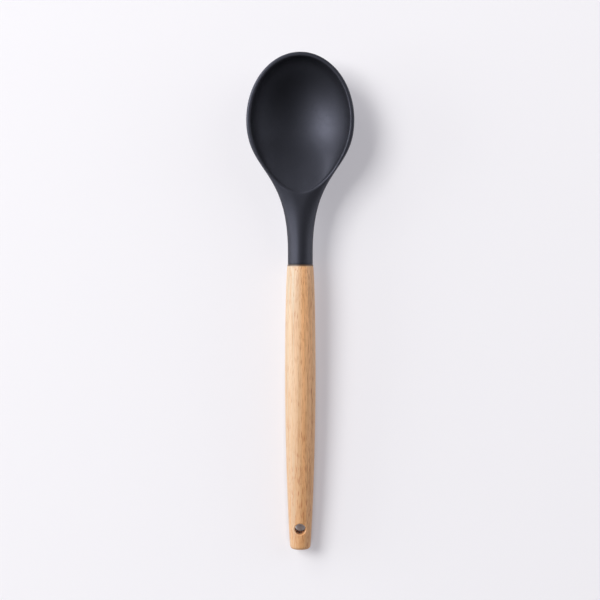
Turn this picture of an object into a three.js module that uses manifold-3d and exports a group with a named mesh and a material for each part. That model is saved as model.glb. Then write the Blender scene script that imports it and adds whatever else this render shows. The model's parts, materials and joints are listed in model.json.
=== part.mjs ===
// Silicone serving spoon on a turned beech handle.
// Millimetres, +Z up. The spoon lies bowl up on z = 0 with the bowl's tip towards +Y.
// It is shaped with the handle's axis along Y and the seam between neck and wood at y = 0,
// then tipped as one body until the bowl and the handle's tail both touch the table.
import * as THREE from "three";
import { mergeVertices } from "three/addons/utils/BufferGeometryUtils.js";
import Module from "manifold-3d";

// Plan of the silicone head
const BOWL_WIDTH = 69;
const TIP_LENGTH = 43.3; // widest station to the tip
const SHOULDER_LENGTH = 84.3; // end of the straight neck to the widest station
const BOWL_CURVE_REACH = 34.1; // how far the bowl's side runs before it turns in
const NECK_CURVE_REACH = 54.5; // how far the neck runs before it flares
const NECK_LENGTH = 8; // straight, round part of the neck
const NECK_DIAMETER = 16.1;
const NECK_END_CHAMFER = 0.6;

// Side view of the silicone head, heights from the handle's axis
const RIM_HEIGHT = 9.3; // rim at the widest station
const TIP_HEIGHT = 8; // rim at the tip
const RIM_CROWN = 1.5; // top of the rim above its widest line
const RIM_SQUARENESS = 4; // exponent of the rim's rounded top, 2 is an ellipse
const FLOOR_WALL = 4.4; // wall under the deepest point

// Scoop
const SCOOP_DEPTH = 21.4;
const SCOOP_HEEL_LENGTH = 46; // widest station back to the heel of the scoop
const SCOOP_HEEL_TAPER = 0.21; // share by which the heel is slimmer than an ellipse
const SCOOP_DEEPEST = 3.7; // widest station to the deepest point, towards the tip
const SCOOP_RAMP_REACH = 25; // how far the ramp at the heel runs straight
const SCOOP_RAMP_DROP = 12.5; // how far it falls over that length
const SCOOP_FLOOR_BACK = 19; // how far the floor runs level towards the heel
const SCOOP_FLOOR_FRONT = 20.4; // how far the floor runs level towards the tip
const SCOOP_TIP_DROP = 11.8; // how far the wall at the tip falls upright
const RIM_WIDTH = 2.7;

// Stiffening core
const SKIN = 1; // silicone over the core, inside and outside the bowl
const PADDLE_MARGIN = 6.4; // scoop's edge to the paddle's edge, in plan
const NECK_SKIN = 3.4; // silicone round the shank
const SHANK_STRAIGHT = 18; // end of the straight neck to where the shank leaves the axis
const SHANK_OVERLAP = 8.4; // how far the shank runs into the paddle
const SHANK_ROOT_WIDTH = 20;
const KEY_DIAMETER = 5; // windows that lock the two silicone skins together
const KEY_COUNT = 6;
const KEY_MARGIN = 15; // scoop's edge to the middle of a window, in plan

// Handle
const HANDLE_LENGTH = 184.6;
const HANDLE_TOP_DIAMETER = 16.5;
const HANDLE_BELLY_DIAMETER = 19.7;
const HANDLE_BELLY_FROM_SEAM = 74;
const HANDLE_TAIL_DIAMETER = 13.3;
const TOP_CURVE_REACH = 9; // how far the flare at the seam runs
const TOP_CURVE_DIAMETER = 19.2; // diameter that this flare aims at
const BELLY_CURVE_UP = 20; // how far the belly stays straight towards the seam
const BELLY_CURVE_DOWN = 41; // how far the belly stays straight towards the tail
const TAIL_CURVE_REACH = 24.5; // how far the taper runs straight into the tail
const TAIL_CURVE_DIAMETER = 16.4; // diameter where that taper starts
const TAIL_ROUND = 2.2;
const HANDLE_TOP_CHAMFER = 0.5;
const HANG_HOLE_DIAMETER = 7;
const HANG_HOLE_FROM_TAIL = 13.8;

// Tang joint inside the handle
const BORE_DIAMETER = 10.4;
const BORE_DEPTH = 46;
const BORE_CHAMFER = 0.6;
const GLUE_THICKNESS = 0.6;
const TANG_END_GAP = 2; // tang end to the bottom of the bore
const TANG_CHAMFER = 0.8;
const GROOVE_COUNT = 3;
const GROOVE_WIDTH = 4;
const GROOVE_DEPTH = 0.7;
const GROOVE_FIRST = 9; // seam to the middle of the first groove
const GROOVE_PITCH = 11;

// Clearances and facets
const BOND_GAP = 0.3; // between any two pieces that are moulded or glued together
const SEAM_GAP = 0.3; // between the neck's end and the wood
const FACETS_AROUND = 36;
const FACETS_CURVE = 9;
const LINE_POINTS = 60; // along each curve of the scoop's middle line
const MERGE_DISTANCE = 1e-4;
const TILT_LIMIT = 0.3; // radians searched for the resting tilt
const TILT_STEPS = 40;
const CUT_OVERRUN = 5; // how far a cutter runs past the face that it opens

const { lerp, smoothstep } = THREE.MathUtils;
const neckRadius = NECK_DIAMETER / 2;
const bowlRadius = BOWL_WIDTH / 2;
const scoopRadius = bowlRadius - RIM_WIDTH;
const widest = NECK_LENGTH + SHOULDER_LENGTH;
const paddleReach = 1 - PADDLE_MARGIN / scoopRadius; // share of the scoop's plan
const shankRadius = neckRadius - NECK_SKIN - BOND_GAP;
const shankBend = NECK_LENGTH + SHANK_STRAIGHT;
const shankRoot = widest - SCOOP_HEEL_LENGTH * paddleReach + SHANK_OVERLAP;
const tangRadius = BORE_DIAMETER / 2 - GLUE_THICKNESS - 2 * BOND_GAP;
const tangEnd = TANG_END_GAP - BORE_DEPTH;

const wasm = await Module();
wasm.setup();

/** Turns a closed geometry into a solid that can be joined and cut. */
function solidOf(geometry) {
  const bare = new THREE.BufferGeometry();
  bare.setAttribute("position", geometry.getAttribute("position"));
  bare.setIndex(geometry.getIndex());
  const merged = mergeVertices(bare, MERGE_DISTANCE);
  const corners = merged.getIndex().array;
  const kept = [];
  for (let i = 0; i < corners.length; i += 3) {
    const [a, b, c] = corners.subarray(i, i + 3);
    if (a !== b && b !== c && c !== a) kept.push(a, b, c);
  }
  const mesh = new wasm.Mesh({
    numProp: 3,
    vertProperties: new Float32Array(merged.getAttribute("position").array),
    triVerts: new Uint32Array(kept),
  });
  return new wasm.Manifold(mesh);
}

/** Turns a solid back into a geometry. */
function geometryOf(solid) {
  const mesh = solid.getMesh();
  const geometry = new THREE.BufferGeometry();
  geometry.setAttribute("position", new THREE.BufferAttribute(mesh.vertProperties, 3));
  geometry.setIndex(new THREE.BufferAttribute(mesh.triVerts, 1));
  return geometry;
}

/** A closed profile turned about Y. */
function turned(path) {
  return new THREE.LatheGeometry(path.getPoints(FACETS_CURVE), FACETS_AROUND);
}

/** Moves every vertex of a geometry to where `place` puts it. */
function pressed(geometry, place) {
  const position = geometry.getAttribute("position");
  const vertex = new THREE.Vector3();
  for (let i = 0; i < position.count; i += 1) {
    vertex.fromBufferAttribute(position, i);
    place(vertex);
    position.setXYZ(i, vertex.x, vertex.y, vertex.z);
  }
  return geometry;
}

/** Plan outline of the head from the neck's end, round the side, to the tip. */
function headOutline() {
  const path = new THREE.Path();
  path.moveTo(0, 0);
  path.lineTo(neckRadius - NECK_END_CHAMFER, 0);
  path.lineTo(neckRadius, NECK_END_CHAMFER);
  path.lineTo(neckRadius, NECK_LENGTH);
  path.bezierCurveTo(
    neckRadius, NECK_LENGTH + NECK_CURVE_REACH,
    bowlRadius, widest - BOWL_CURVE_REACH,
    bowlRadius, widest,
  );
  path.absellipse(0, widest, bowlRadius, TIP_LENGTH, 0, Math.PI / 2, false);
  return path;
}

/** How far a station has gone from the round neck (0) to the open bowl (1). */
function bowlShare(y) {
  return smoothstep(y, NECK_LENGTH, widest);
}

/** How far a station lies from the widest one (0) to the tip (1). */
function tipShare(y) {
  return Math.max(0, Math.min(1, (y - widest) / TIP_LENGTH));
}

/** Top of the head above the widest line of the section at y. */
function crownHeight(y) {
  const rim = RIM_CROWN * (1 - tipShare(y) ** RIM_SQUARENESS) ** (1 / RIM_SQUARENESS);
  return lerp(neckRadius, rim, bowlShare(y));
}

/** Height of the widest line of the section at y. */
function edgeHeight(y) {
  const towardsTip = lerp(RIM_HEIGHT, TIP_HEIGHT, tipShare(y)) - RIM_CROWN;
  return lerp(0, towardsTip, bowlShare(y));
}

/** Height of the rim line that the scoop is sunk from. */
function rimLine(y) {
  return edgeHeight(y) + lerp(neckRadius, RIM_CROWN, bowlShare(y));
}

/** Depth of the head's underside below the widest line of the section at y. */
function keelDepth(y) {
  const keel = lerp(neckRadius, SCOOP_DEPTH + FLOOR_WALL - RIM_HEIGHT, bowlShare(y));
  return (keel + edgeHeight(Math.min(y, widest))) * Math.sqrt(1 - tipShare(y) ** 2);
}

const outlinePoints = headOutline().getPoints(FACETS_CURVE);

/** Half width of the head at y, read off its outline. */
function halfWidth(y) {
  const next = outlinePoints.findIndex((point) => point.y > y);
  const [from, to] = [outlinePoints[next - 1], outlinePoints[next]];
  return lerp(from.x, to.x, (y - from.y) / (to.y - from.y));
}

/** The head without its scoop and without the room for the core. */
function headBlank() {
  const place = (vertex) => {
    const radius = Math.hypot(vertex.x, vertex.z);
    const across = radius > 0 ? Math.min(1, Math.abs(vertex.x) / radius) : 0;
    const squareness = lerp(2, RIM_SQUARENESS, bowlShare(vertex.y));
    const scale = vertex.y < NECK_LENGTH ? radius / neckRadius : Math.sign(radius);
    const up = crownHeight(vertex.y) * (1 - across ** squareness) ** (1 / squareness);
    const down = keelDepth(vertex.y) * Math.sqrt(1 - across ** 2);
    vertex.z = edgeHeight(vertex.y) + scale * (vertex.z > 0 ? up : -down);
  };
  return solidOf(pressed(turned(headOutline()), place));
}

/** Carries a unit disc to the scoop's plan, and tells how far out the point lies. */
function toScoopPlan(vertex) {
  const share = Math.hypot(vertex.x, vertex.y);
  const heel = share > 0 ? Math.max(0, -vertex.y / share) : 0;
  vertex.x *= scoopRadius * (1 - SCOOP_HEEL_TAPER * heel ** 2);
  vertex.y = widest + vertex.y * (heel > 0 ? SCOOP_HEEL_LENGTH : TIP_LENGTH - RIM_WIDTH);
  return share;
}

/** Half width of the scoop at y. */
function scoopHalfWidth(y) {
  const along = (y - widest) / (y < widest ? SCOOP_HEEL_LENGTH : TIP_LENGTH - RIM_WIDTH);
  const heel = Math.min(0, along);
  const round = Math.sqrt(Math.max(0, 1 - along ** 2));
  return scoopRadius * round * (1 - SCOOP_HEEL_TAPER * heel ** 2);
}

/** The scoop's middle line from heel to tip: place along Y against depth below the rim. */
function scoopLine() {
  const heel = widest - SCOOP_HEEL_LENGTH;
  const deepest = widest + SCOOP_DEEPEST;
  const tip = widest + TIP_LENGTH - RIM_WIDTH;
  const line = new THREE.Path();
  line.moveTo(heel, 0);
  line.bezierCurveTo(
    heel + SCOOP_RAMP_REACH, SCOOP_RAMP_DROP,
    deepest - SCOOP_FLOOR_BACK, SCOOP_DEPTH,
    deepest, SCOOP_DEPTH,
  );
  line.bezierCurveTo(deepest + SCOOP_FLOOR_FRONT, SCOOP_DEPTH, tip, SCOOP_TIP_DROP, tip, 0);
  return line;
}

const linePoints = scoopLine().getPoints(LINE_POINTS);

/** Height of the scoop's floor at a plan point. */
function scoopFloor(x, y) {
  const next = Math.max(1, linePoints.findIndex((point) => point.x >= y));
  const [from, to] = [linePoints[next - 1], linePoints[next]];
  const depth = lerp(from.y, to.y, (y - from.x) / (to.x - from.x));
  const across = Math.min(1, Math.abs(x) / Math.max(MERGE_DISTANCE, scoopHalfWidth(y)));
  return rimLine(y) - depth * Math.sqrt(1 - across ** 2);
}

/** Height of the head's underside at a plan point. */
function underside(x, y) {
  const across = Math.min(1, Math.abs(x) / halfWidth(y));
  return edgeHeight(y) - keelDepth(y) * Math.sqrt(1 - across ** 2);
}

/** The room that the scoop takes out of the blank, open at the top. */
function scoopCutter() {
  const profile = new THREE.Path();
  profile.absarc(0, 0, 1, -Math.PI / 2, 0, false);
  profile.lineTo(1, 1);
  profile.lineTo(0, 1);
  const lid = RIM_HEIGHT + RIM_CROWN + CUT_OVERRUN;
  const place = (vertex) => {
    const above = vertex.z > MERGE_DISTANCE;
    toScoopPlan(vertex);
    vertex.z = above ? lid : scoopFloor(vertex.x, vertex.y);
  };
  return solidOf(pressed(turned(profile).rotateX(Math.PI / 2), place));
}

/** The core's paddle, `grow` larger all round. */
function paddle(grow) {
  const reach = paddleReach + grow / scoopRadius;
  const profile = new THREE.Path();
  profile.moveTo(0, -1);
  for (let i = 1; i <= FACETS_CURVE; i += 1) profile.lineTo(reach * i / FACETS_CURVE, -1);
  for (let i = FACETS_CURVE; i >= 0; i -= 1) profile.lineTo(reach * i / FACETS_CURVE, 1);
  const cover = SKIN + BOND_GAP - grow;
  const place = (vertex) => {
    const upper = vertex.z > 0;
    const share = toScoopPlan(vertex);
    const steepness = SCOOP_DEPTH / scoopRadius * share / Math.sqrt(1 - share ** 2);
    const upright = cover * Math.hypot(1, steepness);
    const top = scoopFloor(vertex.x, vertex.y) - upright;
    vertex.z = upper ? top : underside(vertex.x, vertex.y) + upright;
  };
  return solidOf(pressed(turned(profile).rotateX(Math.PI / 2), place));
}

/** Posts that stand in the paddle's windows, of the given radius. */
function keyPosts(radius) {
  const posts = [];
  for (let i = 0; i < KEY_COUNT; i += 1) {
    const turn = (i + 0.5) * 2 * Math.PI / KEY_COUNT;
    const place = new THREE.Vector3(Math.cos(turn), Math.sin(turn), 0);
    toScoopPlan(place.multiplyScalar(1 - KEY_MARGIN / scoopRadius));
    const height = SCOOP_DEPTH + FLOOR_WALL + RIM_HEIGHT;
    const post = new THREE.CylinderGeometry(radius, radius, 2 * height, FACETS_AROUND / 2);
    post.rotateX(Math.PI / 2).translate(place.x, place.y, 0);
    posts.push(solidOf(post));
  }
  return wasm.Manifold.union(posts);
}

/** Middles of the tang's glue grooves, as distances from the seam. */
function grooveMiddles() {
  return Array.from({ length: GROOVE_COUNT }, (unused, i) => GROOVE_FIRST + i * GROOVE_PITCH);
}

/** Runs a profile along the tang from its end to the seam, grooves and all, `grow` further out. */
function tangProfile(path, grow) {
  const floor = tangRadius - GROOVE_DEPTH + grow;
  for (const middle of grooveMiddles().reverse()) {
    const half = GROOVE_WIDTH / 2 - grow / 2;
    path.lineTo(tangRadius + grow, -middle - half);
    path.lineTo(floor, -middle - half + GROOVE_DEPTH);
    path.lineTo(floor, -middle + half - GROOVE_DEPTH);
    path.lineTo(tangRadius + grow, -middle + half);
  }
}

/** Flattens and bends a turned shank into the paddle, `grow` larger all round. */
function bentShank(profile, grow) {
  const rootTop = scoopFloor(0, shankRoot);
  const rootBottom = underside(0, shankRoot);
  const rootHalf = (rootTop - rootBottom) / 2 - SKIN - BOND_GAP;
  const place = (vertex) => {
    const bend = smoothstep(vertex.y, shankBend, shankRoot);
    const wide = lerp(1, SHANK_ROOT_WIDTH / 2 / shankRadius, bend);
    const thick = lerp(1, (rootHalf + grow) / (shankRadius + grow), bend);
    vertex.x *= wide;
    vertex.z = vertex.z * thick + lerp(0, (rootTop + rootBottom) / 2, bend);
  };
  return solidOf(pressed(turned(profile), place));
}

/** Runs a profile along the shank from the seam to its root, `grow` further out. */
function shankProfile(path, grow) {
  path.lineTo(shankRadius + grow, 0);
  for (let i = 0; i <= FACETS_CURVE; i += 1) {
    path.lineTo(shankRadius + grow, lerp(shankBend, shankRoot + grow, i / FACETS_CURVE));
  }
  path.lineTo(0, shankRoot + grow);
}

/** The stiffening core: paddle with windows, shank and grooved tang. */
function nylonCore() {
  const profile = new THREE.Path();
  profile.moveTo(0, tangEnd);
  profile.lineTo(tangRadius - TANG_CHAMFER, tangEnd);
  profile.lineTo(tangRadius, tangEnd + TANG_CHAMFER);
  tangProfile(profile, 0);
  profile.lineTo(tangRadius, 0);
  shankProfile(profile, 0);
  const windows = keyPosts(KEY_DIAMETER / 2);
  return paddle(0).subtract(windows).add(bentShank(profile, 0));
}

/** The room that the core takes in the head, open at the neck's end. */
function coreRoom() {
  const profile = new THREE.Path();
  profile.moveTo(0, -CUT_OVERRUN);
  profile.lineTo(shankRadius + BOND_GAP, -CUT_OVERRUN);
  shankProfile(profile, BOND_GAP);
  const posts = keyPosts(KEY_DIAMETER / 2 - BOND_GAP);
  return paddle(BOND_GAP).subtract(posts).add(bentShank(profile, BOND_GAP));
}

/** The cured glue between the tang and the bore. */
function glueSleeve() {
  const inside = tangRadius + BOND_GAP;
  const outside = inside + GLUE_THICKNESS;
  const bottom = tangEnd + TANG_CHAMFER;
  const top = -SEAM_GAP - BORE_CHAMFER;
  const wall = new THREE.Path();
  wall.moveTo(inside, bottom);
  tangProfile(wall, BOND_GAP);
  wall.lineTo(inside, top);
  const points = wall.getPoints().reverse();
  points.push(new THREE.Vector2(outside, bottom), new THREE.Vector2(outside, top));
  points.push(points[0].clone());
  return solidOf(new THREE.LatheGeometry(points, FACETS_AROUND));
}

/** The handle, turned with its blind bore and drilled for hanging. */
function beechHandle() {
  const top = -SEAM_GAP;
  const tail = -HANDLE_LENGTH;
  const topRadius = HANDLE_TOP_DIAMETER / 2;
  const bellyRadius = HANDLE_BELLY_DIAMETER / 2;
  const tailRadius = HANDLE_TAIL_DIAMETER / 2;
  const boreRadius = BORE_DIAMETER / 2;
  const profile = new THREE.Path();
  profile.moveTo(0, tail);
  profile.lineTo(tailRadius - TAIL_ROUND, tail);
  profile.quadraticCurveTo(tailRadius, tail, tailRadius, tail + TAIL_ROUND);
  profile.bezierCurveTo(
    TAIL_CURVE_DIAMETER / 2, tail + TAIL_CURVE_REACH,
    bellyRadius, -HANDLE_BELLY_FROM_SEAM - BELLY_CURVE_DOWN,
    bellyRadius, -HANDLE_BELLY_FROM_SEAM,
  );
  profile.bezierCurveTo(
    bellyRadius, -HANDLE_BELLY_FROM_SEAM + BELLY_CURVE_UP,
    TOP_CURVE_DIAMETER / 2, -TOP_CURVE_REACH,
    topRadius, top - HANDLE_TOP_CHAMFER,
  );
  profile.lineTo(topRadius - HANDLE_TOP_CHAMFER, top);
  profile.lineTo(boreRadius + BORE_CHAMFER, top);
  profile.lineTo(boreRadius, top - BORE_CHAMFER);
  profile.lineTo(boreRadius, -BORE_DEPTH);
  profile.lineTo(0, -BORE_DEPTH);
  return solidOf(turned(profile)).subtract(hangHole());
}

/** The cutter of the hanging hole. */
function hangHole() {
  const radius = HANG_HOLE_DIAMETER / 2;
  const length = HANDLE_BELLY_DIAMETER + CUT_OVERRUN;
  const cutter = new THREE.CylinderGeometry(radius, radius, length, FACETS_AROUND);
  cutter.rotateX(Math.PI / 2).translate(0, HANG_HOLE_FROM_TAIL - HANDLE_LENGTH, 0);
  return solidOf(cutter);
}

/** Lowest height of a mesh when the spoon is tipped by `tilt` about the seam. */
function lowest(mesh, tilt) {
  const position = mesh.geometry.getAttribute("position");
  let low = Infinity;
  for (let i = 0; i < position.count; i += 1) {
    const height = position.getY(i) * Math.sin(tilt) + position.getZ(i) * Math.cos(tilt);
    low = Math.min(low, height);
  }
  return low;
}

/** The tilt at which both meshes touch the same table. */
function restingTilt(head, handle) {
  let [low, high] = [-TILT_LIMIT, TILT_LIMIT];
  for (let i = 0; i < TILT_STEPS; i += 1) {
    const middle = (low + high) / 2;
    if (lowest(head, middle) < lowest(handle, middle)) low = middle;
    else high = middle;
  }
  return (low + high) / 2;
}

const silicone = new THREE.MeshStandardMaterial({ color: "#3a3b41", roughness: 0.55, metalness: 0 });
const nylon = new THREE.MeshStandardMaterial({ color: "#26272a", roughness: 0.6, metalness: 0 });
const glue = new THREE.MeshStandardMaterial({ color: "#c9b483", roughness: 0.4, metalness: 0 });
const beech = new THREE.MeshStandardMaterial({ color: "#deb184", roughness: 0.55, metalness: 0 });

/** A named mesh of a solid. */
function piece(name, solid, material) {
  const mesh = new THREE.Mesh(geometryOf(solid), material);
  mesh.name = name;
  return mesh;
}

const headSolid = headBlank().subtract(scoopCutter()).subtract(coreRoom());
const head = piece("silicone_head", headSolid, silicone);
const handle = piece("beech_handle", beechHandle(), beech);
const spoon = new THREE.Group();
spoon.name = "spoon";
spoon.add(head, piece("nylon_core", nylonCore(), nylon), piece("glue_sleeve", glueSleeve(), glue), handle);

spoon.rotation.x = restingTilt(head, handle);
spoon.updateMatrixWorld(true);
const box = new THREE.Box3().setFromObject(spoon, true);
const centre = box.getCenter(new THREE.Vector3());
spoon.position.set(-centre.x, -centre.y, -box.min.z);

const part = new THREE.Group();
part.name = "silicone_spoon";
part.add(spoon);

export default part;
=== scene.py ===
"""Looks of a silicone spoon on a turned beech handle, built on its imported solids.

Metres, in the frame of the solids: the spoon lies bowl up on z = 0 with its tip towards +Y.
Both visible pieces are shaped along the handle's own axis, from the seam between neck and wood,
and then laid on the axis that the record's butt_end mount gives.
"""

import json
import math

import bmesh
import bpy
from bpy.props import FloatProperty, FloatVectorProperty, PointerProperty
from mathutils import Matrix, Vector


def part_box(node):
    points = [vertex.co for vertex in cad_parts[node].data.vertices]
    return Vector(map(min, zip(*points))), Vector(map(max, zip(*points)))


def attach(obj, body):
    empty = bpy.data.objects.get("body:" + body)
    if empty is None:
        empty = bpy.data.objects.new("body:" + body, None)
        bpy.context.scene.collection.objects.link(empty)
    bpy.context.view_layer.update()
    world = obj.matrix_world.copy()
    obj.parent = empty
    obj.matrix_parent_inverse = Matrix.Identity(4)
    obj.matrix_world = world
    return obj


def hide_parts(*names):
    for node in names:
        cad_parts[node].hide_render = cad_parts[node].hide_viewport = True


bl_info = {
    "name": "Silicone spoon",
    "version": (1, 0, 0),
    "blender": (4, 5, 0),
    "location": "3D View > Sidebar > Spoon",
    "description": "Builds the silicone head, the beech handle and the stage of a kitchen spoon",
    "category": "Object",
}

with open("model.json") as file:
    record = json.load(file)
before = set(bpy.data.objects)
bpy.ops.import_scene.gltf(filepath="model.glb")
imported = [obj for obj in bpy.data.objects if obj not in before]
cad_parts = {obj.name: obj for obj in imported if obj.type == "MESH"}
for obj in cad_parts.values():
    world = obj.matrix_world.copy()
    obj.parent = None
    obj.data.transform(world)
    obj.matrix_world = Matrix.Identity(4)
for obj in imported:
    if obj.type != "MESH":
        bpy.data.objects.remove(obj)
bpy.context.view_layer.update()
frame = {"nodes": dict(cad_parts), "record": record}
HEAD_LOW, HEAD_HIGH = (Vector(corner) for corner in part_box("silicone_head"))
WELD_DISTANCE = 1e-6
SHARP_ANGLE = math.radians(42)
QUARTER = math.pi / 2
HALVINGS = 60  # enough for any root to the last digit


def length(name, description, default):
    """A size property in metres."""
    return FloatProperty(
        name=name, description=description, default=default, min=0.0, unit="LENGTH", precision=5
    )


def colour(name, description, default):
    """A colour property."""
    return FloatVectorProperty(
        name=name, description=description, default=default, size=3, min=0.0, max=1.0, subtype="COLOR"
    )


def place(name, description, default):
    """A place in metres."""
    return FloatVectorProperty(
        name=name, description=description, default=default, subtype="XYZ", unit="LENGTH"
    )


def pair(name, description, default):
    """Two lengths in metres."""
    return FloatVectorProperty(
        name=name, description=description, default=default, size=2, unit="LENGTH"
    )


def plain(name, description, default):
    """A property without a unit."""
    return FloatProperty(name=name, description=description, default=default, min=0.0)


class HeadSizes(bpy.types.PropertyGroup):
    """Sizes of the silicone head; heights are from the handle's axis."""

    bowl_width: length("Bowl width", "Across the rim", HEAD_HIGH.x - HEAD_LOW.x)
    tip_length: length("Tip length", "From the widest station to the tip", 0.0433)
    shoulder_length: length("Shoulder length", "From the straight neck to the widest station", 0.0843)
    bowl_reach: length("Bowl reach", "How far the bowl's side runs before it turns in", 0.0341)
    neck_reach: length("Neck reach", "How far the neck runs before it flares", 0.0545)
    neck_length: length("Neck length", "Straight, round part of the neck", 0.008)
    neck_diameter: length("Neck diameter", "Across the neck", 0.0161)
    back_round: length("Back round", "From the seam to where the back is no longer fully round", 0.032)
    back_flat: length("Back flat", "From the seam to where only the rim is rounded", 0.068)
    neck_round: length("Neck rounding", "Rounding of the neck's end", 0.0004)
    rim_height: length("Rim height", "Rim at the widest station", 0.0093)
    tip_height: length("Tip height", "Rim at the tip", 0.008)
    rim_crown: length("Rim crown", "Top of the rim above its widest line", 0.0015)
    rim_round: length("Rim rounding", "How far in the rim's outer rounding reaches", 0.0015)
    rim_width: length("Rim width", "From the outline to the scoop", 0.0027)
    lip_radius: length("Lip radius", "Rounding between the rim and the scoop", 0.0008)
    floor_wall: length("Floor wall", "Wall under the deepest point", 0.0044)
    scoop_depth: length("Scoop depth", "From the rim to the deepest point", 0.0214)
    heel_length: length("Heel length", "From the widest station to the scoop's heel", 0.046)
    heel_taper: plain("Heel taper", "Share by which the heel is slimmer than an ellipse", 0.21)
    heel_lip: length("Heel lip", "Rounding between the heel's ramp and the neck", 0.0016)
    deepest: length("Deepest", "From the widest station to the deepest point, towards the tip", 0.0037)
    ramp_reach: length("Ramp reach", "How far the ramp at the heel runs straight", 0.025)
    ramp_drop: length("Ramp drop", "How far it falls over that length", 0.0125)
    floor_back: length("Floor back", "How far the floor runs level towards the heel", 0.019)
    floor_front: length("Floor front", "How far the floor runs level towards the tip", 0.0204)
    tip_drop: length("Tip drop", "How far the wall at the tip falls upright", 0.0118)
    socket_diameter: length("Socket diameter", "Hole in the neck's end for the core", 0.0088)
    socket_depth: length("Socket depth", "Depth of that hole", 0.02)


class HandleSizes(bpy.types.PropertyGroup):
    """Sizes of the beech handle."""

    handle_length: length("Length", "From the seam to the tail", 0.1846)
    seam_gap: length("Seam gap", "Between the neck's end and the wood", 0.00005)
    top_diameter: length("Top diameter", "At the seam", 0.0165)
    belly_diameter: length("Belly diameter", "At the thickest station", 0.0197)
    belly_place: length("Belly place", "From the seam to the thickest station", 0.074)
    tail_diameter: length("Tail diameter", "Above the tail's rounding", 0.0133)
    top_reach: length("Top reach", "How far the flare at the seam runs", 0.009)
    top_aim: length("Top aim", "Diameter that this flare aims at", 0.0192)
    belly_up: length("Belly up", "How far the belly stays straight towards the seam", 0.020)
    belly_down: length("Belly down", "How far the belly stays straight towards the tail", 0.041)
    tail_reach: length("Tail reach", "How far the taper runs straight into the tail", 0.0245)
    tail_aim: length("Tail aim", "Diameter where that taper starts", 0.0164)
    tail_round: length("Tail rounding", "Rounding of the tail's corner", 0.0022)
    top_round: length("Top rounding", "Rounding of the corner at the seam", 0.0003)
    hole_diameter: length("Hole diameter", "Hanging hole", 0.007)
    hole_place: length("Hole place", "From the tail to the middle of the hole", 0.0138)
    hole_round: length("Hole rounding", "Sanded edge of the hole", 0.0008)
    bore_diameter: length("Bore diameter", "Blind hole for the tang", 0.0104)
    bore_depth: length("Bore depth", "From the seam to the bore's bottom", 0.046)


class FinishColours(bpy.types.PropertyGroup):
    """Colours of the finishes."""

    silicone_dark: colour("Silicone dark", "Its darker mottling", (0.0032, 0.0032, 0.0043))
    silicone_light: colour("Silicone light", "Its lighter mottling", (0.0052, 0.0053, 0.0070))
    silicone_sheen: colour("Silicone sheen", "Tint of its highlights", (0.75, 0.78, 1.0))
    # The pale colour is the handle's left side: partly the wood's own paler tone, partly painted sheen of
    # the light from the left.
    beech_pale_and_sheen: colour("Beech pale", "Early wood", (0.505, 0.415, 0.302))
    beech_warm: colour("Beech warm", "Late wood", (0.865, 0.468, 0.218))
    beech_deep: colour("Beech deep", "Narrow late wood, and the tail", (0.53, 0.255, 0.095))
    beech_fleck: colour("Beech fleck", "Short rays along the grain", (0.36, 0.085, 0.012))
    # The next colour is painted shade: a dark line on the wood just below the seam, where the neck's end
    # shades the gap.
    beech_seam_shade: colour("Beech rim", "Dark line at the seam", (0.035, 0.015, 0.008))
    nylon: colour("Nylon", "Hidden core", (0.02, 0.021, 0.023))
    glue: colour("Glue", "Hidden glue", (0.58, 0.46, 0.23))


class StageSettings(bpy.types.PropertyGroup):
    """Floor, lights and camera."""

    floor: colour("Floor", "Table top", (0.549, 0.542, 0.550))
    floor_reach: length("Floor reach", "From the middle of the table top to its sides", 3.0)
    floor_gap: length("Floor gap", "From the spoon down to the table top", 0.0001)
    lift_colour: colour("Lift colour", "Tint of the table in the shadow", (0.885, 0.862, 0.945))
    shadow_lift: plain("Shadow lift", "Brightness that the table keeps in the shadow", 0.365)
    lift_reach: length("Lift reach", "Walls nearer than this take that brightness away", 0.008)
    room: colour("Room", "Colour of the room's light", (1.0, 1.0, 1.0))
    horizon_glow: plain("Horizon glow", "Strength of the room's light near the table", 0.72)
    ceiling_glow: plain("Ceiling glow", "Strength of the room's light from above", 0.04)
    glow_edge: plain("Glow edge", "Rise of a direction where the glow starts to fade", 0.2)
    glow_end: plain("Glow end", "Rise of a direction where only the ceiling's is left", 0.6)
    key_place: place("Key place", "Middle of the soft box", (-2.83, 1.32, 3.24))
    key_size: pair("Key size", "Width and height of the soft box", (2.3, 2.1))
    key_power: plain("Key power", "Watts of the soft box", 195.0)
    side_place: place("Side place", "Middle of the lower box beyond the bowl", (-1.55, 2.05, 1.55))
    side_size: pair("Side size", "Width and height of that box", (1.3, 1.1))
    side_power: plain("Side power", "Watts of that box", 18.0)
    fill_place: place("Fill place", "Middle of the fill box on the right", (1.35, 0.78, 1.26))
    fill_size: pair("Fill size", "Width and height of that box", (1.2, 1.2))
    fill_power: plain("Fill power", "Watts of that box", 4.2)
    left_place: place("Left place", "Middle of the low strip on the left", (-1.93, 0.30, 0.42))
    left_size: pair("Left size", "Width and height of that strip", (1.6, 0.7))
    left_power: plain("Left power", "Watts of that strip", 16.0)
    right_place: place("Right place", "Middle of the low strip on the right", (1.90, 0.45, 0.42))
    right_size: pair("Right size", "Width and height of that strip", (1.6, 0.7))
    right_power: plain("Right power", "Watts of that strip", 6.0)
    camera_height: length("Camera height", "Above the table", 0.95)
    camera_aside: pair("Camera aside", "Where the camera stands over the table", (-0.0002, 0.0016))
    lens: plain("Lens", "Focal length in millimetres", 87.06)


class SpoonSettings(bpy.types.PropertyGroup):
    """All that a user would change."""

    head: PointerProperty(type=HeadSizes)
    handle: PointerProperty(type=HandleSizes)
    colours: PointerProperty(type=FinishColours)
    stage: PointerProperty(type=StageSettings)


def mix(start, end, share):
    """The value that lies `share` of the way from start to end."""
    return start + (end - start) * share


def smooth_step(value, low, high):
    """0 up to low, 1 from high, and a smooth step between."""
    share = min(max((value - low) / (high - low), 0.0), 1.0)
    return share * share * (3.0 - 2.0 * share)


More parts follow.
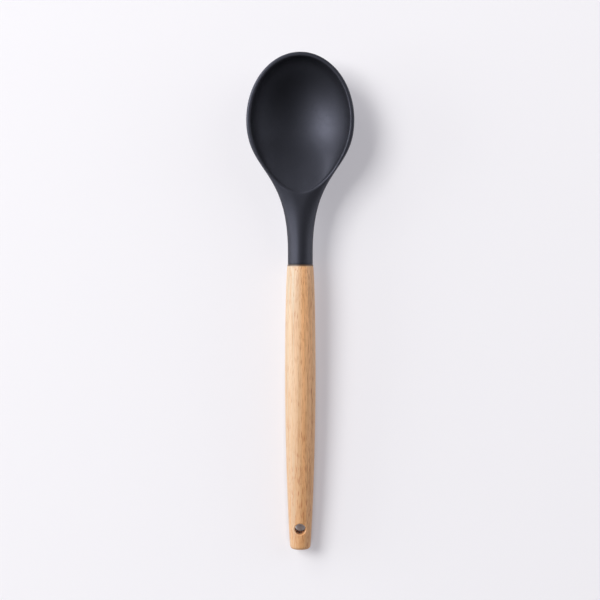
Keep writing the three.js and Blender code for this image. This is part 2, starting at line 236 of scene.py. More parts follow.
def bezier(ends, share):
    """A cubic curve through the first and last of four values."""
    rest = 1.0 - share
    weights = (rest**3, 3.0 * rest**2 * share, 3.0 * rest * share**2, share**3)
    return sum(weight * end for weight, end in zip(weights, ends))


def solve(rising, low, high):
    """Where a rising function crosses zero."""
    for _ in range(HALVINGS):
        middle = (low + high) / 2.0
        if rising(middle) < 0.0:
            low = middle
        else:
            high = middle
    return (low + high) / 2.0


def spoon_axis():
    """Matrix from the handle's own axis, seam at the origin, to the frame of the solids."""
    butt = next(mount for mount in frame["record"]["mounts"] if mount["name"] == "butt_end")
    along = -Vector(butt["axis"]).normalized()
    right = Vector((1.0, 0.0, 0.0))
    seam = Vector(butt["pos_m"]) + along * bpy.context.scene.spoon.handle.handle_length
    turn = Matrix((right, along, right.cross(along))).transposed().to_4x4()
    return Matrix.Translation(seam) @ turn


def add_grid(mesh, rows, closed=False):
    """Joins rows of points, all equally long, with four-sided faces."""
    grid = [[mesh.verts.new(point) for point in row] for row in rows]
    for row, following in zip(grid, grid[1:]):
        pairs = list(zip(row, following))
        if closed:
            pairs.append(pairs[0])
        for (a, b), (d, c) in zip(pairs, pairs[1:]):
            mesh.faces.new((a, b, c, d))


def finished_piece(name, mesh, material, node):
    """Welds a mesh into one closed skin and puts it in the node's place."""
    bmesh.ops.remove_doubles(mesh, verts=mesh.verts, dist=WELD_DISTANCE)
    bmesh.ops.recalc_face_normals(mesh, faces=mesh.faces)
    data = bpy.data.meshes.new(name)
    mesh.to_mesh(data)
    mesh.free()
    data.transform(spoon_axis())
    data.shade_smooth()
    data.set_sharp_from_angle(angle=SHARP_ANGLE)
    data.materials.append(material)
    piece = bpy.data.objects.new(name, data)
    bpy.context.scene.collection.objects.link(piece)
    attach(piece, "root")
    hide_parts(node)
    return piece


class HeadForm:
    """Surfaces of the silicone head along the handle's axis, seam at y = 0."""

    # Powers of the top's rounding: 2 is a round, and a higher one is squarer.
    NECK_POWER = 2.0
    RIM_POWER = 2.4

    # How far towards the heel its softer lip starts.
    HEEL_START = 0.5

    # Steps, in metres and radians, over which a slope and a direction are taken.
    SLOPE_STEP = 1e-5
    TURN_STEP = 1e-4

    def __init__(self, sizes):
        self.sizes = sizes
        self.neck = sizes.neck_diameter / 2.0
        self.side = sizes.bowl_width / 2.0
        self.widest = sizes.neck_length + sizes.shoulder_length

    def bowl_share(self, y):
        """0 on the round neck, 1 on the open bowl."""
        return smooth_step(y, self.sizes.neck_length, self.widest)

    def tip_share(self, y):
        """0 up to the widest station, 1 at the tip."""
        return min(max((y - self.widest) / self.sizes.tip_length, 0.0), 1.0)

    def half_width(self, y):
        """Half the width of the outline at y, up to the widest station."""
        sizes = self.sizes
        start = sizes.neck_length
        if y <= start:
            return self.neck
        along = (start, start + sizes.neck_reach, self.widest - sizes.bowl_reach, self.widest)
        share = solve(lambda guess: bezier(along, guess) - y, 0.0, 1.0)
        return bezier((self.neck, self.neck, self.side, self.side), share)

    def slope(self, y):
        """How fast the half width grows at y."""
        step = self.SLOPE_STEP
        return (self.half_width(y + step) - self.half_width(y - step)) / (2.0 * step)

    def reach(self, x, y):
        """0 on the middle line of the head, 1 on its outline."""
        if y < self.widest:
            return abs(x) / self.half_width(y)
        return math.hypot(x / self.side, self.tip_share(y))

    def inset(self, x, y):
        """About how far a plan point lies inside the outline."""
        if y < self.widest:
            return (self.half_width(y) - abs(x)) / math.hypot(1.0, self.slope(y))
        reach = self.reach(x, y)
        tip = self.sizes.tip_length
        steepness = math.hypot(x / self.side**2, (y - self.widest) / tip**2)
        return (1.0 - reach) * reach / steepness

    def edge(self, y):
        """Height of the widest line of the section at y."""
        sizes = self.sizes
        rim = mix(sizes.rim_height, sizes.tip_height, self.tip_share(y))
        return (rim - sizes.rim_crown) * self.bowl_share(y)

    def crown(self, x, y):
        """Height of the top, as if there were no scoop."""
        share = self.bowl_share(y)
        power = mix(self.NECK_POWER, self.RIM_POWER, share)
        height = mix(self.neck, self.sizes.rim_crown, share)
        flat = smooth_step(y, self.sizes.back_round, self.sizes.back_flat)
        rounding = mix(self.inset(0.0, min(y, self.sizes.back_flat)), self.sizes.rim_round, flat)
        rest = 1.0 - min(max(self.inset(x, y) / rounding, 0.0), 1.0)
        return self.edge(y) + height * (1.0 - rest**power) ** (1.0 / power)

    def rim_line(self, y):
        """Height of the line that the scoop is sunk from."""
        return self.edge(y) + mix(self.neck, self.sizes.rim_crown, self.bowl_share(y))

    def underside(self, x, y):
        """Height of the underside."""
        sizes = self.sizes
        deepest = sizes.scoop_depth + sizes.floor_wall - sizes.rim_height
        keel = mix(self.neck, deepest, self.bowl_share(y)) + self.edge(min(y, self.widest))
        return self.edge(y) - keel * math.sqrt(max(0.0, 1.0 - self.reach(x, y) ** 2))

    def scoop_edge(self, turn):
        """Plan point of the scoop's edge: turn 0 is the right side, a quarter turn the tip."""
        sizes = self.sizes
        x = (self.side - sizes.rim_width) * math.cos(turn)
        along = math.sin(turn)
        if along < 0.0:
            x *= 1.0 - sizes.heel_taper * along**2
            return Vector((x, self.widest + sizes.heel_length * along))
        return Vector((x, self.widest + (sizes.tip_length - sizes.rim_width) * along))

    def scoop_depth(self, y):
        """Depth of the scoop's middle line below the rim: a ramp, the floor and the tip's wall."""
        sizes = self.sizes
        deep = sizes.scoop_depth
        heel = self.widest - sizes.heel_length
        deepest = self.widest + sizes.deepest
        tip = self.widest + sizes.tip_length - sizes.rim_width
        if y < deepest:
            along = (heel, heel + sizes.ramp_reach, deepest - sizes.floor_back, deepest)
            down = (0.0, sizes.ramp_drop, deep, deep)
        else:
            along = (deepest, deepest + sizes.floor_front, tip, tip)
            down = (deep, deep, sizes.tip_drop, 0.0)
        return bezier(down, solve(lambda guess: bezier(along, guess) - y, 0.0, 1.0))

    def scoop_half_width(self, y):
        """Half the width of the scoop at y."""
        sizes = self.sizes
        reach = sizes.heel_length if y < self.widest else sizes.tip_length - sizes.rim_width
        along = (y - self.widest) / reach
        slim = 1.0 - sizes.heel_taper * min(0.0, along) ** 2
        return (self.side - sizes.rim_width) * slim * math.sqrt(max(0.0, 1.0 - along**2))

    def scoop_floor(self, x, y):
        """Height of the scoop's floor."""
        across = min(1.0, abs(x) / max(self.scoop_half_width(y), WELD_DISTANCE))
        return self.rim_line(y) - self.scoop_depth(y) * math.sqrt(1.0 - across**2)

    def heel_share(self, turn):
        """1 where the edge crosses the ramp at the heel, 0 along the sides and the tip."""
        return smooth_step(-math.sin(turn), self.HEEL_START, 1.0)

    def lip(self, turn):
        """Width of the rounding between the scoop's wall and the top."""
        return mix(self.sizes.lip_radius, self.sizes.heel_lip, self.heel_share(turn))

    def scoop_normal(self, turn):
        """Outward direction of the scoop's edge in plan."""
        run = self.scoop_edge(turn + self.TURN_STEP) - self.scoop_edge(turn - self.TURN_STEP)
        return Vector((run.y, -run.x)).normalized()


class HeadMesh:
    """Plan of the head's faces: the scoop's rings, the rim band and the back of the neck.

    The band runs up one side of the neck, round the bowl and down the other side. The back fills
    the room between its two legs, from the neck's end to the heel of the scoop.
    """

    # Rows of faces in each stretch.
    RINGS = 30
    LIP = 7
    BAND = 10
    BACK_ROWS = 40
    HEEL = 36
    AROUND = 136
    END = 5

    # Share of its width that the lip at the heel drops, and how late the wall takes a drop up.
    HEEL_DROP = 0.25
    SINK_POWER = 6

    # The band between the lip and the outline is narrower than this.
    BAND_LIMIT = 0.02

    def __init__(self, form):
        self.form = form
        half = math.pi * self.HEEL / (self.HEEL + self.AROUND)
        start = half - QUARTER
        around = 2.0 * math.pi - 2.0 * half
        self.bowl_turns = [start + around * i / self.AROUND for i in range(self.AROUND + 1)]
        heel = [start - 2.0 * half * i / self.HEEL for i in range(self.HEEL + 1)]
        self.heel_turns = heel
        self.turns = self.bowl_turns[:-1] + heel[:0:-1]

    def lip_point(self, turn):
        """Plan point where the lip's rounding meets the rim."""
        form = self.form
        return form.scoop_edge(turn) + form.scoop_normal(turn) * form.lip(turn)

    def scoop_column(self, turn):
        """Points from the deepest point up the scoop's wall and over the lip."""
        form = self.form
        heel = form.heel_share(turn)
        middle = Vector((0.0, form.widest))
        edge = form.scoop_edge(turn)
        over = self.lip_point(turn)
        top = form.crown(*over)
        brink = top - form.lip(turn) * mix(1.0, self.HEEL_DROP, heel)
        sink = brink - form.rim_line(edge.y)
        column = []
        for ring in range(self.RINGS):
            share = math.sin(QUARTER * ring / self.RINGS)
            plan = middle.lerp(edge, share)
            column.append((*plan, form.scoop_floor(*plan) + sink * share**self.SINK_POWER))
        column.append((*edge, brink))
        corner = (*edge.lerp(over, 0.5 * heel), top)
        ends = list(zip(column[-1], corner, (*over, top)))
        for ring in range(1, self.LIP + 1):
            share = ring / self.LIP
            rest = 1.0 - share
            weights = (rest**2, 2.0 * rest * share, share**2)
            column.append([sum(w * end for w, end in zip(weights, row)) for row in ends])
        return column

    def band_row(self, inner, outer):
        """Plan points across the band, closer together towards the outline."""
        shares = [math.sin(QUARTER * i / self.BAND) for i in range(self.BAND + 1)]
        return [inner.lerp(outer, share) for share in shares]

    def bowl_band(self, turn):
        """Plan points from the lip straight out to the outline."""
        inner = self.lip_point(turn)
        normal = self.form.scoop_normal(turn)
        reach = solve(lambda out: -self.form.inset(*(inner + normal * out)), 0.0, self.BAND_LIMIT)
        return self.band_row(inner, inner + normal * reach)

    def neck_bands(self):
        """Rows across the right leg of the band, from the bowl down to the neck's end."""
        form = self.form
        corner = self.bowl_band(self.bowl_turns[0])
        width = (corner[0] - corner[-1]).length
        rows = [corner]
        for i in range(1, self.BACK_ROWS + 1):
            y = mix(corner[-1].y, form.sizes.neck_round, i / self.BACK_ROWS)
            outer = Vector((form.half_width(y), y))
            inward = Vector((-1.0, form.slope(y))).normalized()
            rows.append(self.band_row(outer + inward * width, outer))
        return rows

    def back_rows(self, legs):
        """Rows across the back, between the legs, from the scoop's heel to the neck's end."""
        heel = [self.lip_point(turn) for turn in self.heel_turns]
        shares = [i / self.HEEL for i in range(self.HEEL + 1)]
        bow = [point - heel[0].lerp(heel[-1], share) for point, share in zip(heel, shares)]
        rows = []
        for i, leg in enumerate(legs):
            right = leg[0]
            left = Vector((-right.x, right.y))
            rest = 1.0 - i / self.BACK_ROWS
            rows.append([right.lerp(left, share) + bend * rest for share, bend in zip(shares, bow)])
        return rows

    def build(self):
        """The whole head as one mesh."""
        form = self.form
        mesh = bmesh.new()
        columns = [self.scoop_column(turn) for turn in self.turns]
        under = [[(x, y, form.underside(x, y)) for x, y, _ in column] for column in columns]
        add_grid(mesh, list(zip(*columns)), closed=True)
        add_grid(mesh, list(zip(*under)), closed=True)
        legs = self.neck_bands()
        mirrored = [[Vector((-point.x, point.y)) for point in row] for row in legs]
        bowl = [self.bowl_band(turn) for turn in self.bowl_turns[1:-1]]
        back = self.back_rows(legs)
        for lift in (form.crown, form.underside):
            for rows in (legs[::-1] + bowl + mirrored, back):
                add_grid(mesh, [[(*point, lift(*point)) for point in row] for row in rows])
        add_grid(mesh, self.neck_end(legs[-1], back[-1]), closed=True)
        bmesh.ops.remove_doubles(mesh, verts=mesh.verts, dist=WELD_DISTANCE)
        # The one opening left is the bottom of the hole for the core.
        bmesh.ops.holes_fill(mesh, edges=mesh.edges, sides=0)
        return mesh

    def neck_end(self, leg, back):
        """Rings round the neck's rounded end, its face and the hole for the core."""
        form = self.form
        sizes = form.sizes
        across = leg[::-1] + back[1:-1]
        across += [Vector((-point.x, point.y)) for point in leg]
        loop = [(p.x, form.crown(*p)) for p in across]
        loop += [(p.x, form.underside(*p)) for p in across[-2:0:-1]]
        rings = []
        for i in range(self.END + 1):
            angle = QUARTER * i / self.END
            shrink = 1.0 - sizes.neck_round * (1.0 - math.cos(angle)) / form.neck
            rings.append((shrink, sizes.neck_round * (1.0 - math.sin(angle))))
        socket = sizes.socket_diameter / sizes.neck_diameter
        rings += [(socket, 0.0), (socket, sizes.socket_depth)]
        return [[(x * shrink, y, z * shrink) for x, z in loop] for shrink, y in rings]


class HandleForm:
    """Surface of the turned handle along its axis, seam at y = 0 and tail towards -Y."""

    # Rows and columns of faces in each stretch.
    TAIL_ROWS = 4
    HOLE_ROWS = 10
    BODY_ROWS = 90
    CORNER = 7
    COLUMNS = 96
    HOLE_COLUMNS = 13
    RINGS = 8
    WALL_ROWS = 8

    # Half the length of the frame round the hanging hole, in radii of the hole.
    FRAME_REACH = 1.75

    def __init__(self, sizes):
        self.sizes = sizes
        self.tail = -sizes.handle_length
        self.top = -sizes.seam_gap
        self.hole = self.tail + sizes.hole_place

    def radius(self, y):
        """Radius of the long sides at y."""
        sizes = self.sizes
        belly = -sizes.belly_place
        if y < belly:
            along = (
                self.tail + sizes.tail_round,
                self.tail + sizes.tail_reach,
                belly - sizes.belly_down,
                belly,
            )
            across = (sizes.tail_diameter, sizes.tail_aim, sizes.belly_diameter, sizes.belly_diameter)
        else:
            along = (belly, belly + sizes.belly_up, -sizes.top_reach, self.top - sizes.top_round)
            across = (sizes.belly_diameter, sizes.belly_diameter, sizes.top_aim, sizes.top_diameter)
        share = solve(lambda guess: bezier(along, guess) - y, 0.0, 1.0)
        return bezier(across, share) / 2.0

    def stations(self):
        """Places of the rows along the sides, tail to seam, and which of them frame the hole."""
        sizes = self.sizes
        low = self.tail + sizes.tail_round
        high = self.top - sizes.top_round
        reach = self.FRAME_REACH * sizes.hole_diameter / 2.0
        near, far = self.hole - reach, self.hole + reach
        rows = [mix(low, near, i / self.TAIL_ROWS) for i in range(self.TAIL_ROWS)]
        first = len(rows)
        rows += [mix(near, far, i / self.HOLE_ROWS) for i in range(self.HOLE_ROWS)]
        last = len(rows)
        rows += [mix(far, high, i / self.BODY_ROWS) for i in range(self.BODY_ROWS + 1)]
        return rows, first, last

    def ring(self, radius, y):
        """Points of one row round the handle, starting on the right."""
        turns = [2.0 * math.pi * i / self.COLUMNS for i in range(self.COLUMNS)]
        return [(radius * math.cos(turn), y, radius * math.sin(turn)) for turn in turns]

    def tail_rings(self):
        """Rings from the middle of the tail's flat end over its rounded corner."""
        sizes = self.sizes
        full = sizes.tail_diameter / 2.0
        rings = [self.ring(share * (full - sizes.tail_round), self.tail) for share in (0.0, 0.5)]
        for i in range(self.CORNER + 1):
            angle = QUARTER * i / self.CORNER
            radius = full - sizes.tail_round * (1.0 - math.sin(angle))
            rings.append(self.ring(radius, self.tail + sizes.tail_round * (1.0 - math.cos(angle))))
        return rings

    def top_rings(self):
        """Rings over the corner at the seam, across the end face and down the bore."""
        sizes = self.sizes
        full = sizes.top_diameter / 2.0
        bore = sizes.bore_diameter / 2.0
        rings = []
        for i in range(self.CORNER + 1):
            angle = QUARTER * i / self.CORNER
            radius = full - sizes.top_round * (1.0 - math.cos(angle))
            rings.append(self.ring(radius, self.top - sizes.top_round * (1.0 - math.sin(angle))))
        for radius, y in ((bore, self.top), (bore, -sizes.bore_depth), (0.0, -sizes.bore_depth)):
            rings.append(self.ring(radius, y))
        return rings

    def frame_of_hole(self, rows, first, last):
        """Plan points of the four sides that frame the hole, in order round it."""
        half = self.HOLE_COLUMNS
        step = 2.0 * math.pi / self.COLUMNS
        right = [(half, rows[i]) for i in range(first, last)]
        far = [(-i, rows[last]) for i in range(-half, half)]
        left = [(-half, rows[i]) for i in range(last, first, -1)]
        near = [(i, rows[first]) for i in range(-half, half)]
        around = right + far + left + near
        return [Vector((self.radius(y) * math.sin(i * step), y)) for i, y in around]

    def height(self, plan):
        """Height of the handle's upper side over a plan point."""
        return math.sqrt(self.radius(plan.y) ** 2 - plan.x**2)

    def hole_column(self, corner):
        """Points from the hole's frame over its sanded edge and down to mid height."""
        sizes = self.sizes
        radius = sizes.hole_diameter / 2.0
        middle = Vector((0.0, self.hole))
        out = (corner - middle).normalized()
        mouth = middle + out * (radius + sizes.hole_round)
        column = []
        for i in range(self.RINGS):
            plan = corner.lerp(mouth, math.sin(QUARTER * i / self.RINGS))
            column.append((*plan, self.height(plan)))
        for i in range(self.CORNER + 1):
            share = math.sin(QUARTER * i / self.CORNER)
            plan = middle + out * (radius + sizes.hole_round * (1.0 - share))
            drop = sizes.hole_round * (1.0 - math.sqrt(1.0 - share**2))
            column.append((*plan, self.height(plan) - drop))
        x, y, lowest = column[-1]
        for i in range(1, self.WALL_ROWS + 1):
            column.append((x, y, lowest * (1.0 - i / self.WALL_ROWS)))
        return column

    def build(self):
        """The whole handle as one mesh."""
        rows, first, last = self.stations()
        rings = [self.ring(self.radius(y), y) for y in rows]
        mesh = bmesh.new()
        add_grid(mesh, self.tail_rings() + rings[1 : first + 1], closed=True)
        add_grid(mesh, rings[last:-1] + self.top_rings(), closed=True)
        quarter = self.COLUMNS // 4
        for side in (0, 2 * quarter):
            start = side + quarter + self.HOLE_COLUMNS
            span = range(start, start + 2 * quarter - 2 * self.HOLE_COLUMNS + 1)
            add_grid(mesh, [[ring[i % self.COLUMNS] for i in span] for ring in rings[first : last + 1]])
        columns = [self.hole_column(corner) for corner in self.frame_of_hole(rows, first, last)]
        upper = list(zip(*columns))
        add_grid(mesh, upper, closed=True)
        add_grid(mesh, [[(x, y, -z) for x, y, z in row] for row in upper], closed=True)
        return mesh


class Finish:
    """A node material that is put together step by step."""

    def __init__(self, name):
        self.material = bpy.data.materials.new(name)
        self.material.use_nodes = True
        self.tree = self.material.node_tree
        self.shader = self.tree.nodes["Principled BSDF"]
        axis = spoon_axis()
        self.place = self.node(
            "ShaderNodeMapping",
            vector_type="TEXTURE",
            Vector=self.node("ShaderNodeTexCoord").outputs["Object"],
            Location=axis.to_translation(),
            Rotation=axis.to_euler(),
        ).outputs["Vector"]

    def node(self, kind, **settings):
        """A new node with its settings; a socket is linked and any other value is set."""
        node = self.tree.nodes.new(kind)
        for key, value in settings.items():
            if hasattr(node, key):
                setattr(node, key, value)
            else:
                self.put(node.inputs[key.replace("_", " ")], value)
        return node

    def put(self, socket, value):
        """Links an output to a socket, or sets the socket's value."""
        if isinstance(value, bpy.types.NodeSocket):
            self.tree.links.new(value, socket)
        else:
            socket.default_value = value

    def stretched(self, scale):
        """The object's own coordinates, scaled along each axis."""
        return self.node("ShaderNodeMapping", Vector=self.place, Scale=scale).outputs["Vector"]

    def noise(self, vector, scale=1.0, detail=2.0, roughness=0.5):
        """A noise between 0 and 1."""
        kind = "ShaderNodeTexNoise"
        node = self.node(kind, Vector=vector, Scale=scale, Detail=detail, Roughness=roughness)
        return node.outputs["Fac"]

    def spread(self, value, source, target=(0.0, 1.0)):
        """A value carried from one range to another, and held there."""
        node = self.node("ShaderNodeMapRange", Value=value)
        for socket, number in zip(list(node.inputs)[1:5], (*source, *target)):
            socket.default_value = number
        return node.outputs["Result"]

    def combine(self, operation, first, second):
        """Two values put together, and held between 0 and 1."""
        node = self.node("ShaderNodeMath", operation=operation, use_clamp=True)
        for socket, value in zip(node.inputs, (first, second)):
            self.put(socket, value)
        return node.outputs["Value"]

    def blend(self, share, first, second):
        """Two colours mixed by a share."""
        node = self.node("ShaderNodeMix", data_type="RGBA")
        for name, value in (("Factor_Float", share), ("A_Color", first), ("B_Color", second)):
            self.put(next(socket for socket in node.inputs if socket.identifier == name), value)
        return next(socket for socket in node.outputs if socket.identifier == "Result_Color")

    def bump(self, height, strength, distance):
        """A bump from a height."""
        node = self.node("ShaderNodeBump", Height=height, Strength=strength, Distance=distance)
        return node.outputs["Normal"]

    def shade(self, **settings):
        """Sets or links sockets of the shader."""
        for key, value in settings.items():
            self.put(self.shader.inputs[key.replace("_", " ")], value)
        return self.material


def opaque(rgb):
    """A colour with full alpha."""
    return (*rgb, 1.0)


class SiliconeGrain:
    """Mottling and grain of the silicone: noise scales per metre, ranges and a bump in metres."""

    MOTTLE_SCALE = 160.0
    MOTTLE_DETAIL = 4.0
    MOTTLE_ROUGHNESS = 0.55
    GRAIN_SCALE = 3800.0
    GRAIN_SPAN = (0.44, 0.56)
    ROUGHNESS = (0.45, 0.66)
    BUMP = 0.12
    BUMP_HEIGHT = 0.00004
    SPECULAR = 0.81


def silicone_finish(colours):
    """Matte moulded silicone: faint mottling, and a fine grain of smoother and rougher spots."""
    look = SiliconeGrain
    finish = Finish("charcoal_silicone")
    mottle = finish.noise(finish.place, look.MOTTLE_SCALE, look.MOTTLE_DETAIL, look.MOTTLE_ROUGHNESS)
    grain = finish.noise(finish.place, look.GRAIN_SCALE)
    return finish.shade(
        Base_Color=finish.blend(mottle, opaque(colours.silicone_dark), opaque(colours.silicone_light)),
        Roughness=finish.spread(grain, look.GRAIN_SPAN, look.ROUGHNESS),
        Normal=finish.bump(grain, look.BUMP, look.BUMP_HEIGHT),
        Specular_IOR_Level=look.SPECULAR,
        Specular_Tint=opaque(colours.silicone_sheen),
    )


class BeechGrain:
    """Marks of the beech: noise scales per metre, places in metres, and how far each mark tells.

    X runs across the handle from its left to its right, and Y from the tail up to the seam at 0.
    """

    DRIFT_SCALE = (300.0, 7.0, 300.0)
    DRIFT_SPAN = (0.38, 0.62)
    DRIFT_SHARE = (0.0, 0.25)
    STREAK_SCALE = (1100.0, 16.0, 1100.0)
    STREAK_ROUGHNESS = 0.6
    STREAK_SPAN = (0.49, 0.65)
    STREAK_SHARE = (0.0, 0.54)
    LONG_DETAIL = 3.0
    FLECK_SCALE = (3400.0, 140.0, 3400.0)
    FLECK_DETAIL = 1.0
    FLECK_SPAN = (0.62, 0.72)
    FLECK_SHARE = (0.0, 0.8)
    CROWD_X = (-0.007, 0.001)
    CROWD_SHARE = (0.0, 0.05)
    # A ramp across the handle from its pale left to its warm right: partly the wood's own tone, partly
    # painted sheen of the light from the left.
    SIDE_TONE_AND_SHEEN_X = (-0.0050, 0.0018)
    SIDE_TONE_AND_SHEEN_SHARE = (0.0, 0.75)
    # The handle turns deeper in colour towards the tail.
    TAIL_Y = (-0.06, -0.18)
    TAIL_SHARE = (0.0, 0.45)
    # Painted shade: a dark line on the wood just below the seam.
    SEAM_SHADE_Y = (-0.0015, -0.0007)
    SEAM_SHADE_SHARE = (0.0, 0.95)
    ROUGH_SPAN = (0.3, 0.7)
    ROUGHNESS = (0.42, 0.54)
    BUMP = 0.12
    BUMP_HEIGHT = 0.00012
    SPECULAR = 0.7


def beech_finish(colours):
    """Oiled beech: straight grain, short dark flecks, a pale left side that is partly its own tone and
    partly painted sheen, and a painted shade line at the seam.
    """
    look = BeechGrain
    finish = Finish("oiled_beech")
    along = finish.node("ShaderNodeSeparateXYZ", Vector=finish.place).outputs
    drift = finish.noise(finish.stretched(look.DRIFT_SCALE), detail=look.LONG_DETAIL)
    streak = finish.noise(
        finish.stretched(look.STREAK_SCALE), detail=look.LONG_DETAIL, roughness=look.STREAK_ROUGHNESS
    )
    fleck = finish.noise(finish.stretched(look.FLECK_SCALE), detail=look.FLECK_DETAIL)
    # Pale on the left and warm on the right: partly the wood's own tone, partly painted sheen.
    side_tone_and_sheen = finish.spread(along["X"], look.SIDE_TONE_AND_SHEEN_X, look.SIDE_TONE_AND_SHEEN_SHARE)
    tone = finish.combine("ADD", side_tone_and_sheen, finish.spread(drift, look.DRIFT_SPAN, look.DRIFT_SHARE))
    wood = finish.blend(tone, opaque(colours.beech_pale_and_sheen), opaque(colours.beech_warm))
    # Deeper in colour towards the tail, besides the late wood of the streaks.
    tail = finish.spread(along["Y"], look.TAIL_Y, look.TAIL_SHARE)
    late_wood_and_tail = finish.combine("ADD", tail, finish.spread(streak, look.STREAK_SPAN, look.STREAK_SHARE))
    grain = finish.blend(late_wood_and_tail, wood, opaque(colours.beech_deep))
    crowd = finish.spread(along["X"], look.CROWD_X, look.CROWD_SHARE)
    marks = finish.spread(finish.combine("ADD", fleck, crowd), look.FLECK_SPAN, look.FLECK_SHARE)
    flecked = finish.blend(marks, grain, opaque(colours.beech_fleck))
    # Painted shade: a dark line just below the seam, where the neck's end shades the wood.
    seam = finish.spread(along["Y"], look.SEAM_SHADE_Y, look.SEAM_SHADE_SHARE)
    return finish.shade(
        Base_Color=finish.blend(seam, flecked, opaque(colours.beech_seam_shade)),
        Roughness=finish.spread(streak, look.ROUGH_SPAN, look.ROUGHNESS),
        Normal=finish.bump(streak, look.BUMP, look.BUMP_HEIGHT),
        Specular_IOR_Level=look.SPECULAR,
    )


class HiddenGrain:
    """Mottling of the pieces inside the spoon: a noise scale per metre, and a bump in metres."""

    NYLON_ROUGHNESS = 0.6
    GLUE_ROUGHNESS = 0.35
    MOTTLE_SCALE = 300.0
    MOTTLE_DETAIL = 3.0
    MOTTLE_SPAN = (0.3, 0.7)
    DARKER = 0.8
    ROUGHNESS_RANGE = 0.05
    BUMP = 0.1
    BUMP_HEIGHT = 0.0001


def hidden_finish(name, rgb, roughness):
    """Finish of a piece inside the spoon, mottled as moulded."""
    look = HiddenGrain
    finish = Finish(name)
    mottle = finish.noise(finish.place, look.MOTTLE_SCALE, look.MOTTLE_DETAIL)
    darker = tuple(look.DARKER * channel for channel in rgb)
    smooth, rough = roughness - look.ROUGHNESS_RANGE, roughness + look.ROUGHNESS_RANGE
    return finish.shade(
        Base_Color=finish.blend(mottle, opaque(darker), opaque(rgb)),
        Roughness=finish.spread(mottle, look.MOTTLE_SPAN, (smooth, rough)),
        Normal=finish.bump(mottle, look.BUMP, look.BUMP_HEIGHT),
    )


class SPOON_OT_head(bpy.types.Operator):
    """Build the silicone bowl, shoulder and neck"""

    bl_idname = "spoon.head"
    bl_label = "Silicone head"

    def execute(self, context):
        settings = context.scene.spoon
        mesh = HeadMesh(HeadForm(settings.head)).build()
        material = silicone_finish(settings.colours)
        finished_piece("silicone_skin", mesh, material, "silicone_head")
        return {"FINISHED"}


class SPOON_OT_handle(bpy.types.Operator):
    """Build the turned beech handle with its hanging hole"""

    bl_idname = "spoon.handle"
    bl_label = "Beech handle"

    def execute(self, context):
        settings = context.scene.spoon
        mesh = HandleForm(settings.handle).build()
        finished_piece("turned_handle", mesh, beech_finish(settings.colours), "beech_handle")
        return {"FINISHED"}


class SPOON_OT_core(bpy.types.Operator):
    """Finish the hidden core and glue, which keep the shape of their solids"""

    bl_idname = "spoon.core"
    bl_label = "Hidden core and glue"

    def execute(self, context):
        colours = context.scene.spoon.colours
        for node, rgb, roughness in (
            ("nylon_core", colours.nylon, HiddenGrain.NYLON_ROUGHNESS),
            ("glue_sleeve", colours.glue, HiddenGrain.GLUE_ROUGHNESS),
        ):
            data = frame["nodes"][node].data
            data.materials.clear()
            data.materials.append(hidden_finish(node + "_finish", rgb, roughness))
        return {"FINISHED"}


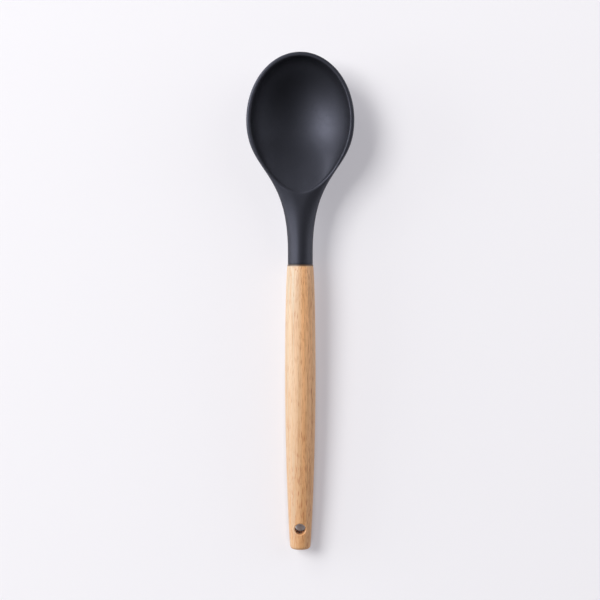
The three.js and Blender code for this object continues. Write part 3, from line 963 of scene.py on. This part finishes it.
class SPOON_OT_stage(bpy.types.Operator):
    """Set up the floor, the soft light and the camera"""

    bl_idname = "spoon.stage"
    bl_label = "Stage"

    FLOOR_ROUGHNESS = 0.9
    CLIP_START = 0.01

    # Share of open sky at which the table starts to keep its brightness, and keeps all of it.
    OPEN_SPAN = (0.2, 0.75)

    def execute(self, context):
        stage = context.scene.spoon.stage
        self.lay_floor(context, stage)
        self.light(context, stage)
        self.aim_camera(context, stage)
        context.scene.view_settings.view_transform = "Standard"
        return {"FINISHED"}

    def lay_floor(self, context, stage):
        """A wide pale table top, which glows a little where it is seen so that the shadow stays light."""
        mesh = bmesh.new()
        bmesh.ops.create_grid(mesh, x_segments=1, y_segments=1, size=stage.floor_reach)
        data = bpy.data.meshes.new("table_top")
        mesh.to_mesh(data)
        mesh.free()
        finish = Finish("pale_table")
        finish.shade(
            Base_Color=opaque(stage.floor), Roughness=self.FLOOR_ROUGHNESS, Specular_IOR_Level=0.0
        )
        path = finish.node("ShaderNodeLightPath").outputs
        seen = finish.combine("ADD", path["Is Camera Ray"], path["Is Glossy Ray"])
        seen = finish.combine("ADD", seen, path["Is Transmission Ray"])
        sky = finish.node("ShaderNodeAmbientOcclusion", Distance=stage.lift_reach).outputs["AO"]
        share = finish.combine("MULTIPLY", seen, finish.spread(sky, self.OPEN_SPAN))
        strength = finish.spread(share, (0.0, 1.0), (0.0, stage.shadow_lift))
        glow = finish.node("ShaderNodeEmission", Color=opaque(stage.lift_colour), Strength=strength)
        both = finish.node("ShaderNodeAddShader")
        finish.put(both.inputs[0], finish.shader.outputs["BSDF"])
        finish.put(both.inputs[1], glow.outputs["Emission"])
        finish.put(finish.tree.nodes["Material Output"].inputs["Surface"], both.outputs["Shader"])
        data.materials.append(finish.material)
        floor = bpy.data.objects.new("table_top", data)
        floor.location.z = -stage.floor_gap
        context.scene.collection.objects.link(floor)

    def hang(self, context, name, where, size, power):
        """A soft light that faces the middle of the spoon."""
        lamp = bpy.data.lights.new(name, "AREA")
        lamp.shape = "RECTANGLE"
        lamp.size, lamp.size_y = size
        lamp.energy = power
        box = bpy.data.objects.new(name, lamp)
        where = Vector(where)
        facing = where.to_track_quat("Z", "Y").to_matrix().to_4x4()
        box.matrix_world = Matrix.Translation(where) @ facing
        context.scene.collection.objects.link(box)

    def light(self, context, stage):
        """A soft box, two smaller boxes and two low strips, in a room that glows near the table."""
        self.hang(context, "soft_box", stage.key_place, stage.key_size, stage.key_power)
        self.hang(context, "left_strip", stage.left_place, stage.left_size, stage.left_power)
        self.hang(context, "right_strip", stage.right_place, stage.right_size, stage.right_power)
        self.hang(context, "side_box", stage.side_place, stage.side_size, stage.side_power)
        self.hang(context, "fill_box", stage.fill_place, stage.fill_size, stage.fill_power)
        world = bpy.data.worlds.new("room_light")
        world.use_nodes = True
        nodes = world.node_tree.nodes
        links = world.node_tree.links
        around = nodes["Background"]
        direction = nodes.new("ShaderNodeSeparateXYZ")
        links.new(nodes.new("ShaderNodeTexCoord").outputs["Generated"], direction.inputs["Vector"])
        fade = nodes.new("ShaderNodeMapRange")
        span = (stage.glow_edge, stage.glow_end, stage.horizon_glow, stage.ceiling_glow)
        for socket, number in zip(list(fade.inputs)[1:5], span):
            socket.default_value = number
        links.new(direction.outputs["Z"], fade.inputs["Value"])
        links.new(fade.outputs["Result"], around.inputs["Strength"])
        around.inputs["Color"].default_value = opaque(stage.room)
        context.scene.world = world

    def aim_camera(self, context, stage):
        """A camera straight above, with the bowl's tip up in the picture."""
        data = bpy.data.cameras.new("camera")
        data.lens = stage.lens
        data.clip_start = self.CLIP_START
        camera = bpy.data.objects.new("camera", data)
        camera.location = (*stage.camera_aside, stage.camera_height)
        context.scene.collection.objects.link(camera)
        context.scene.camera = camera


class SPOON_PT_panel(bpy.types.Panel):
    """Sizes, colours and the steps of the build"""

    bl_idname = "SPOON_PT_panel"
    bl_label = "Silicone spoon"
    bl_space_type = "VIEW_3D"
    bl_region_type = "UI"
    bl_category = "Spoon"

    def draw(self, context):
        settings = context.scene.spoon
        for step in STEPS:
            self.layout.operator(step.bl_idname)
        for group in (settings.head, settings.handle, settings.colours, settings.stage):
            box = self.layout.box()
            for key in group.__annotations__:
                box.prop(group, key)


STEPS = (SPOON_OT_core, SPOON_OT_head, SPOON_OT_handle, SPOON_OT_stage)
GROUPS = (HeadSizes, HandleSizes, FinishColours, StageSettings, SpoonSettings)


def register():
    """Makes the settings, the steps and the panel known."""
    for item in GROUPS + STEPS + (SPOON_PT_panel,):
        bpy.utils.register_class(item)
    bpy.types.Scene.spoon = PointerProperty(type=SpoonSettings)


def unregister():
    """Takes them away again."""
    del bpy.types.Scene.spoon
    for item in reversed(GROUPS + STEPS + (SPOON_PT_panel,)):
        bpy.utils.unregister_class(item)


def main():
    """Builds the spoon and its stage."""
    register()
    bpy.ops.spoon.core()
    bpy.ops.spoon.head()
    bpy.ops.spoon.handle()
    bpy.ops.spoon.stage()


if __name__ == "__main__":
    main()
